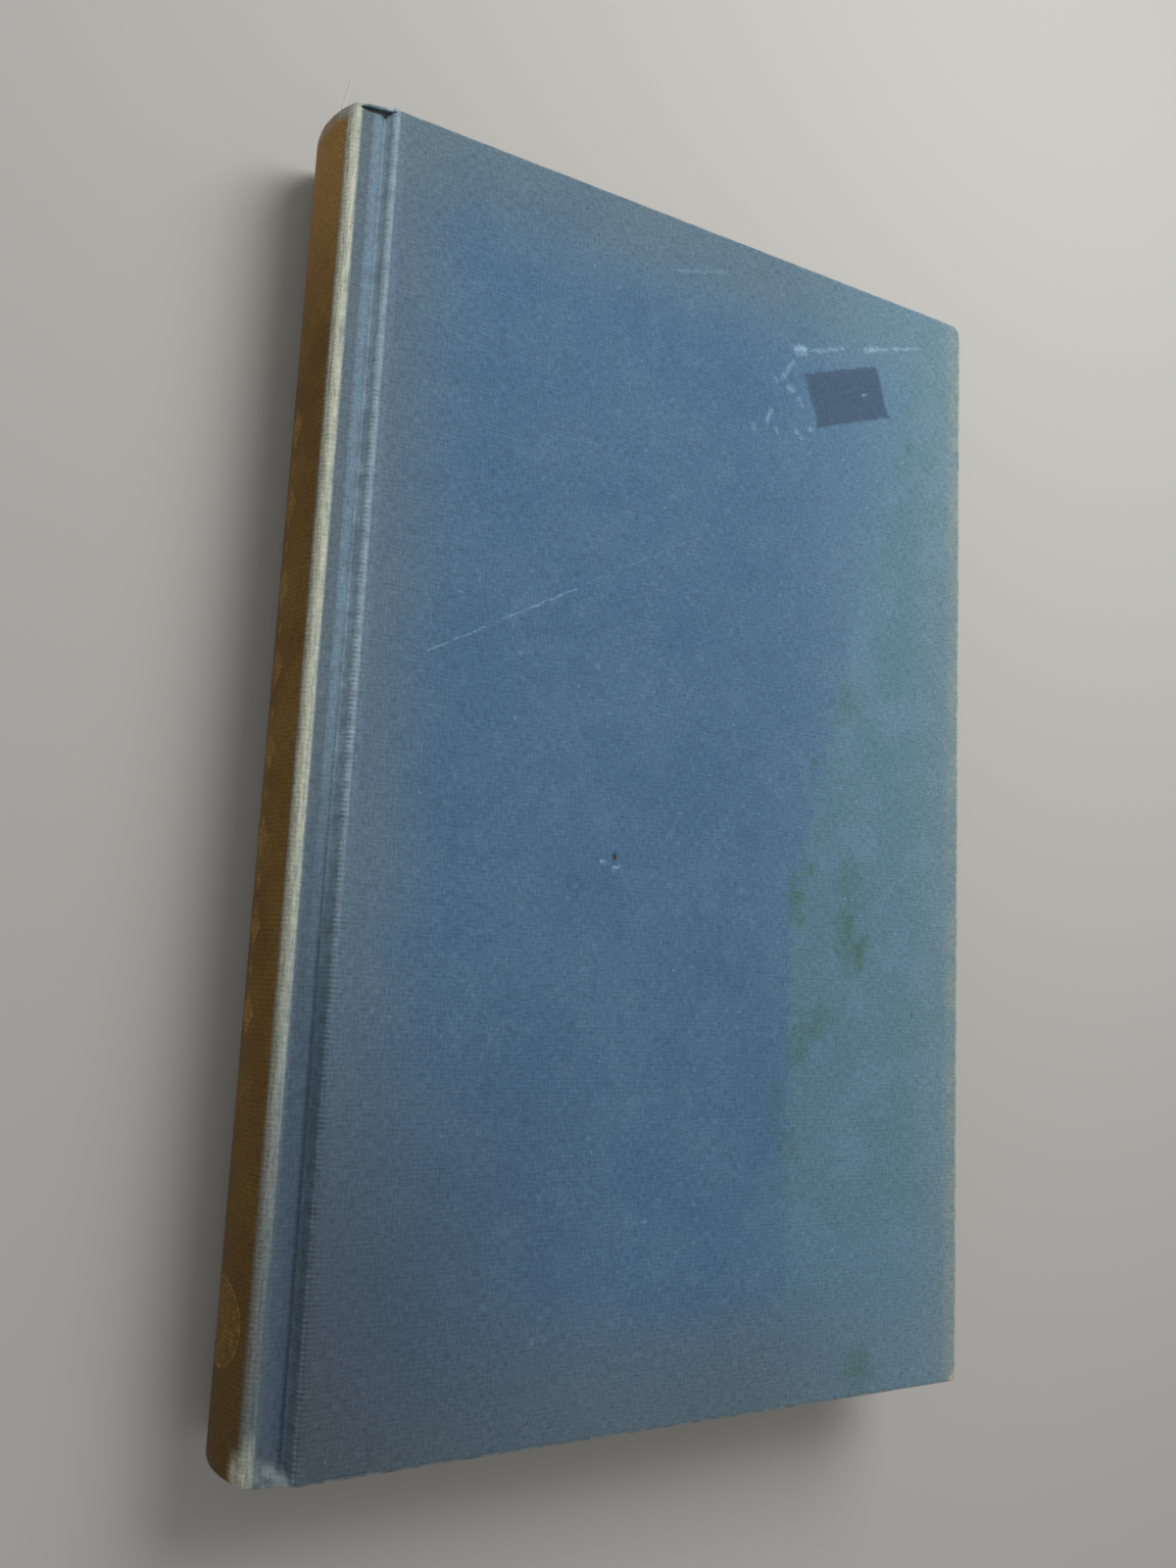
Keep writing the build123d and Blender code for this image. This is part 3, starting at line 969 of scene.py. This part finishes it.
def cover_skin(side):
    """The skin of one cover: a fine net over the joint, a coarser one over the board."""
    # The groove is deep at the tail. Years of use have flattened it towards the head.
    steep_wall = [(5.18, 2.2), (5.32, 1.75), (5.44, 1.3)]
    gentle_wall = [(4.88, 1.6), (5.02, 1.32), (5.15, 1.05)]
    deep = joint_section(
        groove_fall=shoulder_rise, crease_x=4.75, crease=0.12, wall=steep_wall,
        round_start=5.52, round_width=0.9, round_depth=0.85,
    )
    flat = joint_section(
        groove_fall=0.2, crease_x=4.55, crease=0.06, wall=gentle_wall,
        round_start=5.24, round_width=0.75, round_depth=0.85,
    )
    board_reach = rim_x - joint_net_end - rim_width
    board_xs = [joint_net_end + board_reach * step / board_columns for step in range(1, board_columns + 1)]
    board_xs += [rim_x - rim_width * (1 - step / rim_columns) for step in range(1, rim_columns + 1)]
    board_rows = [
        row for row in range(last_row + 1)
        if row % board_row_step == 0 or min(row, last_row - row) < fine_end_rows
    ]
    worn = side > 0
    points = []
    places = []
    faces = []

    def put(x, y, depth, cut_x, cut_y):
        """Add a point and its place on the flat cloth; return its number."""
        z = front_high.z - depth if side > 0 else depth
        points.append((ridge_x + x, y, z))
        places.append((cut_x, cut_y - tail_y, 0))
        return len(points) - 1

    def face(*corners):
        """Add a face that looks outwards."""
        faces.append(corners if side > 0 else tuple(reversed(corners)))

    def cell(column, low_row, high_row):
        """Add the face between two rows of a column of the net and of the next column."""
        face(
            net[column, low_row], net[column + 1, low_row],
            net[column + 1, high_row], net[column, high_row],
        )

    net = {}
    for column, ((deep_x, deep_depth), (flat_x, flat_depth)) in enumerate(zip(deep, flat)):
        for row in range(last_row + 1):
            flatness = smooth_step(row_y(row, deep_x, deep_depth), deepest_y, flattest_y)
            x = deep_x + (flat_x - deep_x) * flatness
            depth = deep_depth + (flat_depth - deep_depth) * flatness
            y = row_y(row, x, depth)
            net[column, row] = put(*joint_place(x, y, depth, row, worn), x, y)
    seam = len(deep) - 1
    last_column = seam + len(board_xs)
    for column, x in enumerate(board_xs, seam + 1):
        for row in board_rows:
            y = row_y(row, x, 0.0)
            placed_x, placed_y = rounded_corner(x, y)
            net[column, row] = put(placed_x, placed_y, board_sink(x, y), placed_x, placed_y)

    for column in range(seam):
        for row in range(last_row):
            at_slit = row == last_row - slit_rows and slit_width(flat[column + 1][0]) > 0
            if not (worn and at_slit):
                cell(column, row, row + 1)
    for low_row, high_row in zip(board_rows, board_rows[1:]):
        fine = [net[seam, row] for row in range(high_row, low_row - 1, -1)]
        face(*fine, net[seam + 1, low_row], net[seam + 1, high_row])
    for column in range(seam + 1, last_column):
        for low_row, high_row in zip(board_rows, board_rows[1:]):
            cell(column, low_row, high_row)

    border = [(column, 0) for column in range(last_column + 1)]
    border += [(last_column, row) for row in board_rows[1:]]
    border += [(column, last_row) for column in range(last_column - 1, -1, -1)]
    previous = None
    for column, row in border:
        number = net[column, row]
        x = points[number][0] - ridge_x
        y = points[number][1]
        depth = front_high.z - points[number][2] if side > 0 else points[number][2]
        out_x, out_y = border_normal(x, y, column == last_column)
        over_slit = worn and y > 0 and slit_width(x) > 0
        fold = joint_fold if over_slit else inner_depth(x) - depth
        rounding = edge_radius(x, depth)
        steps = over_edge(rounding, fold, frayed_edge(x, y, side))
        ring = [number]
        for out, drop, along in steps:
            cut_place = (x + out_x * along, y + out_y * along)
            ring.append(put(x + out_x * out, y + out_y * out, depth + drop, *cut_place))
        tuck = turn_in_tuck * smooth_step(x, 0.4, 1.2) * (1 - smooth_step(x, 2.0, 2.8))
        for inset in turn_in_rows:
            inner_x = min(x + out_x * rounding, outline_x - inset) if column > seam else x
            inner_y = max(-outline_y + inset, min(outline_y - inset, y + out_y * rounding))
            tucked = inner_depth(x) - tuck * smooth_step(inset, *turn_in_rows[:2])
            along = steps[-1][2] + inset
            ring.append(put(inner_x, inner_y, tucked, x + out_x * along, y + out_y * along))
        if previous:
            for step in range(len(ring) - 1):
                face(previous[step], previous[step + 1], ring[step + 1], ring[step])
        previous = ring
    return cloth_piece(side_name(side) + "_cover_cloth", points, faces, places)


def toned_rims(tree, x, y, mottle):
    """Grey toning along the spine side, the head and the tail, most where they meet, and painted shade
    that darkens the spine side towards the tail.
    """
    uneven = add(tree, "MapRange", None, {"Value": mottle, "To Min": 0.9, "To Max": 1.05})
    layers = []
    for fade, colour in fades(tree, [
        (x, 23.0, 4.0, 0.7, cloth_grey),
        (y, 24.0, 1.0, 0.8, cloth_tail),
        (y, cloth_length - 22.0, cloth_length, 0.65, cloth_head),
    ]):
        mask = add(tree, "Math", TIMES | {"use_clamp": True}, {0: fade, 1: uneven})
        layers.append((mask, colour))
    # Painted shade: the cover grows darker towards the tail on its spine side.
    (across, colour), (along, colour) = fades(tree, [
        (x, 60.0, 0.0, 0.85, painted_corner_shade),
        (y, 75.0, 15.0, 1.0, painted_corner_shade),
    ])
    return layers + [(add(tree, "Math", TIMES, {0: across, 1: along}), colour)]


def faded_side(tree, cut, x, y):
    """The fore-edge side, faded where the book stood out from its neighbours."""
    lift = {"Value": y, "From Min": 78.0, "From Max": 190.0, "To Min": 82.0, "To Max": 110.0}
    boundary = add(tree, "MapRange", None, lift)
    past = add(tree, "Math", {"operation": "SUBTRACT"}, {0: x, 1: boundary})
    ragged = patchy(tree, cut, 0.5, 0.3, 0.7)
    wander = add(tree, "Math", {"operation": "MULTIPLY_ADD"}, {0: ragged, 1: 2.0, 2: past})
    stepped, above_tail, slow_fading, beige_side = fades(tree, [
        (wander, 0.0, 2.2, 0.4, cloth_light),
        (y, 6.0, 34.0, 1.0, cloth_light),
        (x, 70.0, 114.0, 0.66, cloth_light),
        (x, 104.0, 119.0, 0.5, fore_edge_tone),
    ])
    edge_of_fading = add(tree, "Math", TIMES, {0: stepped[0], 1: above_tail[0]})
    teal = patchy(tree, cut, 0.11, 0.36, 0.56)
    teal_there = add(tree, "Math", TIMES, {0: teal, 1: edge_of_fading})
    return [(edge_of_fading, cloth_light), slow_fading, (teal_there, cloth_teal), beige_side]


def old_label(tree, cut, wear):
    """Darker cloth that a lost label kept from the light."""
    across, along = from_middle(tree, cut, (91.75, 168.6), (8.7, 4.85), radians(20.5))
    reach = add(tree, "Math", LARGER, {0: across, 1: along})
    ragged = add(tree, "Math", {"operation": "MULTIPLY_ADD"}, {0: wear, 1: 0.05, 2: reach})
    return fades(tree, [(ragged, 1.08, 0.96, 0.85, label_blue)])


def scuffs(tree, cut, fine):
    """Light scratches and glue marks: from, to, half width and strength of each, in mm."""
    strokes = (
        ((16.1, 109.6), (25.5, 115.1), 0.25, 0.35),
        ((27.5, 116.3), (39.5, 123.2), 0.25, 0.4),
        ((41.0, 124.2), (61.4, 136.1), 0.25, 0.2),
        ((55.5, 180.6), (65.2, 183.5), 0.5, 0.25),
        ((83.8, 174.9), (90.5, 177.2), 0.7, 0.4),
        ((95.8, 178.5), (98.3, 179.3), 0.8, 0.75),
        ((98.5, 179.4), (109.1, 182.7), 0.4, 0.5),
        ((80.4, 174.1), (81.8, 174.3), 1.3, 1.0),
        ((79.7, 171.6), (77.3, 168.0), 0.7, 0.4),
        ((75.9, 167.4), (76.2, 167.3), 0.7, 0.6),
        ((78.9, 166.8), (79.5, 166.4), 0.9, 0.6),
        ((81.0, 165.2), (81.9, 163.8), 0.8, 0.25),
        ((75.2, 161.4), (74.3, 159.4), 0.7, 0.7),
        ((71.9, 158.2), (71.6, 157.4), 0.7, 0.65),
        ((76.2, 158.6), (76.7, 157.9), 0.6, 0.4),
        ((83.6, 160.3), (84.1, 160.2), 0.7, 0.5),
        ((80.5, 159.2), (82.0, 158.0), 0.6, 0.35),
        ((95.4, 169.8), (96.2, 170.0), 0.4, 0.6),
        ((46.0, 82.0), (46.5, 82.0), 0.45, 0.9),
        ((48.0, 81.5), (49.0, 81.6), 0.35, 0.8),
        ((117.6, 165.2), (118.1, 166.4), 0.7, 0.7),
    )
    warp = add(tree, "TexNoise", None, {"Vector": cut, "Scale": 0.7, "Detail": 5.0})
    bent = {0: warp.outputs["Color"], 1: (1.0, 1.0, 0), 2: cut}
    moved = add(tree, "VectorMath", {"operation": "MULTIPLY_ADD"}, bent)
    # The noise moves every point by about half a millimetre, so the strokes move with it.
    shift = 0.5
    scuffed = 0.0
    for (x0, y0), (x1, y1), half, strength in strokes:
        reach = hypot(x1 - x0, y1 - y0) / 2 + half
        middle = ((x0 + x1) / 2 + shift, (y0 + y1) / 2 + shift)
        along, across = from_middle(tree, moved, middle, (reach, half), atan2(y1 - y0, x1 - x0))
        beside = {"Value": across, "From Min": 1.0, "From Max": 0.1, "To Max": strength}
        within = {"Value": along, "From Min": 1.0, "From Max": 1 - half / reach}
        stroke = {0: add(tree, "MapRange", SMOOTH, beside), 1: add(tree, "MapRange", SMOOTH, within)}
        scuffed = add(tree, "Math", LARGER, {0: add(tree, "Math", TIMES, stroke), 1: scuffed})
    grain = add(tree, "MapRange", None, {"Value": fine, "To Min": 0.35, "To Max": 1.0})
    return [(add(tree, "Math", TIMES, {0: scuffed, 1: grain}), scuff_pale)]


def stains(tree, cut):
    """Spots and blotches: place, half sizes, strength and colour of each."""
    spots = (
        ((48.1, 83.1), (0.45, 0.6), 0.95, stain_brown),
        ((86.1, 101.9), (0.9, 0.7), 0.7, stain_green),
        ((106.3, 163.0), (0.9, 1.3), 0.5, stain_green),
        ((93.5, 113.0), (3.4, 3.4), 0.35, stain_green),
        ((82.6, 79.0), (1.5, 5.0), 0.65, stain_green),
        ((85.4, 83.5), (2.2, 1.4), 0.5, stain_green),
        ((93.6, 75.0), (2.0, 2.6), 0.75, stain_green),
        ((95.6, 70.6), (3.4, 3.0), 0.8, stain_green),
        ((94.0, 81.5), (2.6, 4.4), 0.4, stain_green),
        ((86.5, 58.5), (4.2, 2.6), 0.55, stain_green),
        ((84.0, 54.5), (3.0, 3.0), 0.45, stain_green),
        ((79.5, 47.0), (1.6, 3.4), 0.4, stain_green),
        ((82.1, 39.5), (2.6, 5.4), 0.35, stain_green),
        ((97.5, 4.6), (3.4, 2.8), 0.55, stain_green),
    )
    warp = add(tree, "TexNoise", None, {"Vector": cut, "Scale": 0.3, "Detail": 6.0})
    centring = {0: warp.outputs["Color"], 1: (0.5, 0.5, 0.5)}
    centred = add(tree, "VectorMath", {"operation": "SUBTRACT"}, centring)
    # The noise pulls the outline of each spot about, in step with the spot's own size.
    ragged = 3.2
    layers = []
    for place, (half_x, half_y), strength, colour in spots:
        bent = {0: centred, 1: (half_x * ragged, half_y * ragged, 0), 2: cut}
        moved = add(tree, "VectorMath", {"operation": "MULTIPLY_ADD"}, bent)
        reach = oval_reach(tree, moved, place, (half_x, half_y))
        layers += fades(tree, [(reach, 1.5, 0.1, strength, colour)])
    return layers


def specks(tree, cut):
    """Many tiny light specks where the cloth's filling has chipped off the threads."""
    layers = []
    for scale, size, share in ((0.3, 0.05, 0.75), (0.12, 0.03, 0.7)):
        cells = add(tree, "TexVoronoi", None, {"Vector": cut, "Scale": scale})
        near = {"Value": cells, "From Min": size, "From Max": size * 0.4, "To Max": 0.7}
        dot = add(tree, "MapRange", None, near)
        some = add(tree, "Math", {"operation": "GREATER_THAN"}, {0: cells.outputs["Color"], 1: share})
        layers.append((add(tree, "Math", TIMES, {0: dot, 1: some}), chip_pale))
    return layers


def joint_layers(tree, cut, x, y, wear):
    """From the ridge: rubbed cream, a dirtied slope, a faded swell, painted shade in the groove and its
    crease, and a pale wall, rubbed and painted light.
    """
    toward_tail = {"Value": y, "From Min": 110.0, "From Max": 45.0}
    lower = add(tree, "MapRange", SMOOTH, toward_tail)
    upper = add(tree, "Math", {"operation": "SUBTRACT"}, {0: 1.0, 1: lower})
    band_unevenness = add(tree, "MapRange", None, {"Value": wear, "To Min": 0.6, "To Max": 1.0})
    # The middle, half width, soft rim and strength of each band, and where it shows.
    bands = (
        (2.1, 0.6, 0.6, 0.7, None, slope_soiled),
        (3.9, 0.6, 0.8, 0.65, upper, faded_and_painted_light_blue),
        # Painted shade: the deep groove in the lower half is darkened over its swell.
        (3.2, 1.2, 0.8, 0.8, lower, swell_shaded),
        # Painted shade in the groove's crease: strong in the lower half, faint in the upper half.
        (4.55, 0.3, 0.35, 0.75, lower, crease_painted_shade),
        (4.65, 0.1, 0.2, 0.2, upper, crease_painted_shade),
        # Painted light: the steep wall of the deep groove, which faces away from the lamp, is painted
        # paler.
        (5.3, 0.35, 0.4, 0.45, lower, faded_and_painted_light_blue),
        # The wall of the flatter groove: threads rubbed pale, and painted light where the wall faces away
        # from the lamp.
        (5.0, 0.3, 0.35, 0.9, upper, wall_rubbed_and_painted_light),
        (5.75, 0.35, 0.5, 0.7, upper, board_rubbed),
        (6.6, 0.4, 0.9, 0.2, upper, faded_and_painted_light_blue),
    )
    layers = []
    for middle, half, soft, strength, where, colour in bands:
        mask = band(tree, x, middle, half, soft, band_unevenness)
        mask = add(tree, "Math", TIMES, {0: mask, 1: strength})
        if where:
            mask = add(tree, "Math", TIMES, {0: mask, 1: where})
        layers.append((mask, colour))
    ridge = band(tree, x, 0.0, 0.75, 0.6, rubbed_ridge(tree, cut, y))
    return layers + [(ridge, ridge_cream)]


def rubbed_edges(tree, cut, x, y, wear):
    """Beige patches along the fore edge, and threads rubbed pale on the folds."""
    patches = patchy(tree, cut, 0.2, 0.3, 0.65)
    uneven = add(tree, "MapRange", None, {"Value": patches, "To Min": 0.2, "To Max": 0.8})
    chafed = add(tree, "MapRange", None, {"Value": wear, "To Min": 0.2, "To Max": 1.0})
    slightly = add(tree, "MapRange", None, {"Value": wear, "To Min": 0.1, "To Max": 0.7})
    return [
        (band(tree, x, outline_x - 0.2, 1.4, 2.8, uneven), edge_beige),
        (band(tree, x, outline_x + 0.1, 0.5, 0.5, chafed), edge_pale),
        (band(tree, y, -0.4, 0.5, 0.5, slightly), edge_pale),
        (band(tree, y, cloth_length + 0.4, 0.5, 0.5, slightly), edge_pale),
        (band(tree, y, -0.5, 1.6, 3.0, band(tree, x, 0.0, 3.0, 5.0, slightly)), corner_grey),
    ]


def bare_corner(tree, x, y, wear):
    """The fore-edge corner at the tail, worn down to the board."""
    place = add(tree, "CombineXYZ", None, {"X": x, "Y": y})
    away = {0: place, 1: (outline_x + 0.3, -0.3, 0)}
    distance = add(tree, "VectorMath", {"operation": "DISTANCE"}, away).outputs["Value"]
    uneven = add(tree, "MapRange", None, {"Value": wear, "To Min": 0.5, "To Max": 1.0})
    return [(band(tree, distance, 0.0, 1.7, 1.3, uneven), board_bare)]


def cover_cloth_material(side):
    """Faded blue book cloth, greyer at its rims, with what years of use left on it."""
    material, tree, shader = new_material("faded_blue_book_cloth_" + side_name(side))
    cut = add(tree, "Attribute", {"attribute_name": "cut_mm"}).outputs["Vector"]
    parts = add(tree, "SeparateXYZ", None, {"Vector": cut})
    x, y = parts.outputs["X"], parts.outputs["Y"]
    height = cloth_relief(tree, cut, 0.035)
    mottle = patchy(tree, cut, 0.07, 0.35, 0.65)
    wear = patchy(tree, cut, 0.35, 0.35, 0.6)
    fine = patchy(tree, cut, 0.9, 0.4, 0.6)
    layers = [(mottle, cloth_blue)]
    for scale, low, high, strength, colour in (
        (0.22, 0.5, 0.75, 0.15, cloth_dusty),
        (0.3, 0.5, 0.28, 0.25, cloth_worn_dark),
        (0.9, 0.58, 0.78, 0.5, cloth_dusty),
    ):
        patches = patchy(tree, cut, scale, low, high)
        layers.append((add(tree, "Math", TIMES, {0: patches, 1: strength}), colour))
    layers += toned_rims(tree, x, y, mottle)
    if side > 0:
        layers += faded_side(tree, cut, x, y)
        layers += old_label(tree, cut, wear)
        layers += scuffs(tree, cut, fine)
        layers += stains(tree, cut)
    layers += specks(tree, cut)
    layers += joint_layers(tree, cut, x, y, wear)
    layers += rubbed_edges(tree, cut, x, y, wear)
    if side > 0:
        layers += bare_corner(tree, x, y, wear)
    colour = layered(tree, cloth_blue_deep, layers)
    finish_cloth(tree, shader, colour, height, 0.35, streaks=0.26)
    return material


for side in (1, -1):
    skin = cover_skin(side)
    skin.data.materials.append(cover_cloth_material(side))
    skin.data.materials.append(reverse_and_slit_shade)
    across_hinge(skin, side)
    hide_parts(side_name(side) + "_cloth")


# The frayed end. One cotton thread has worked loose from the worn cloth at the head
# of the spine and stands up from it. Its broken end shows the undyed cotton.
head_thread_width = 0.24
head_thread_run = [
    (-59.9, 94.0, 17.6),
    (-59.6, 95.2, 17.7),
    (-59.45, 96.6, 18.0),
    (-59.2, 98.3, 18.5),
]

curve = bpy.data.curves.new("frayed_head_thread", "CURVE")
curve.dimensions = "3D"
curve.bevel_depth = head_thread_width / 2 * mm
curve.bevel_resolution = 2
line = curve.splines.new("BEZIER")
line.bezier_points.add(len(head_thread_run) - 1)
for place, knot in zip(head_thread_run, line.bezier_points):
    knot.co = Vector(place) * mm
    knot.handle_left_type = "AUTO"
    knot.handle_right_type = "AUTO"
loose_thread = bpy.data.objects.new("frayed_head_thread", curve)
bpy.context.scene.collection.objects.link(loose_thread)


def loose_cotton_material():
    """Undyed cotton thread, pale and fuzzy, with no shine."""
    material, tree, shader = new_material("undyed_cotton_thread_ends")
    place = add(tree, "TexCoord").outputs["Object"]
    fuzz = add(tree, "TexNoise", None, {"Vector": place, "Scale": 9 / mm})
    finish(tree, shader, linear("d6ccb6"), fuzz, relief_mm=0.03, strength=0.5, roughness=0.9)
    return material


loose_thread.data.materials.append(loose_cotton_material())
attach(loose_thread, "book_block")


bpy.context.view_layer.update()
